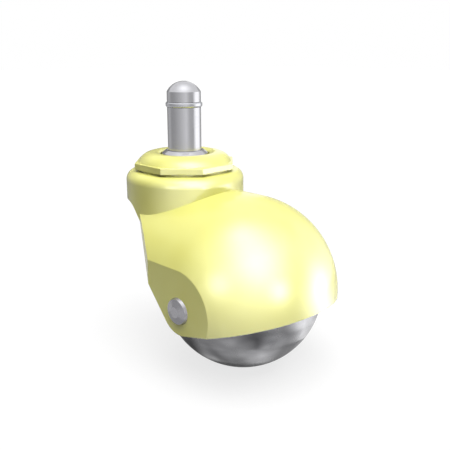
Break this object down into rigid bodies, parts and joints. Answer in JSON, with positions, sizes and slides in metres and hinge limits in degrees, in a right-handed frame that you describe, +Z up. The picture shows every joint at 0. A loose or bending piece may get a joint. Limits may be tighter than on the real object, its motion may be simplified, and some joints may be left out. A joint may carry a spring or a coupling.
{
  "type": "ball castor",
  "caption": "Hooded ball castor with a plug-in grip-ring stem, a ball-race swivel and a steel ball that rolls on a riveted cross axle.",
  "frame": {"origin": "on the stem's axis, in the plane of the collar's top face, which bears on the furniture leg", "axes": "+Z up the stem into the leg, +X towards the side on which the ball trails, Y along the ball's axle"},
  "size_m": [0.0759, 0.057, 0.0878],
  "materials": {
    "stem_steel": "bright zinc plating with fine turning marks",
    "spring_steel": "plain spring steel",
    "race_steel": "hardened steel, greased",
    "race_ball_steel": "polished bearing balls",
    "cage_brass": "pressed sheet",
    "hood_enamel": "pale yellow gloss enamel on a zinc die casting",
    "axle_steel": "zinc-plated rivet with formed heads",
    "ball_chrome": "polished steel with a soft, cloudy shine",
    "bush_nylon": "natural nylon",
    "felt": "oiled dark felt"
  },
  "bodies": {
    "stem_side": {"stem": "stem_steel", "grip_ring": "spring_steel", "upper_race": "race_steel", "dust_seal": "felt", "kingpin_washer": "stem_steel"},
    "race": {"race_balls": "race_ball_steel", "ball_cage": "cage_brass"},
    "hood_side": {"hood": "hood_enamel", "retainer_plate": "hood_enamel", "cap_ring": "hood_enamel", "lower_race": "race_steel", "swivel_bush": "bush_nylon", "axle": "axle_steel", "axle_washer_right": "bush_nylon", "axle_washer_left": "bush_nylon"},
    "ball": {"ball_shell_right": "ball_chrome", "ball_shell_left": "ball_chrome", "hub_tube": "stem_steel", "hub_bush_right": "bush_nylon", "hub_bush_left": "bush_nylon"}
  },
  "joints": [
    {"name": "swivel", "type": "hinge", "parent": "stem_side", "child": "hood_side", "pos_m": [0, 0, -0.008], "axis": [0, 0, 1], "continuous": true},
    {"name": "race_turn", "type": "hinge", "parent": "stem_side", "child": "race", "pos_m": [0, 0, -0.008], "axis": [0, 0, 1], "continuous": true},
    {"name": "ball_spin", "type": "hinge", "parent": "hood_side", "child": "ball", "pos_m": [0.0268, 0, -0.04085], "axis": [0, 1, 0], "continuous": true}
  ],
  "couplings": [
    {"joint": "race_turn", "follows": "swivel", "ratio": 0.5}
  ]
}
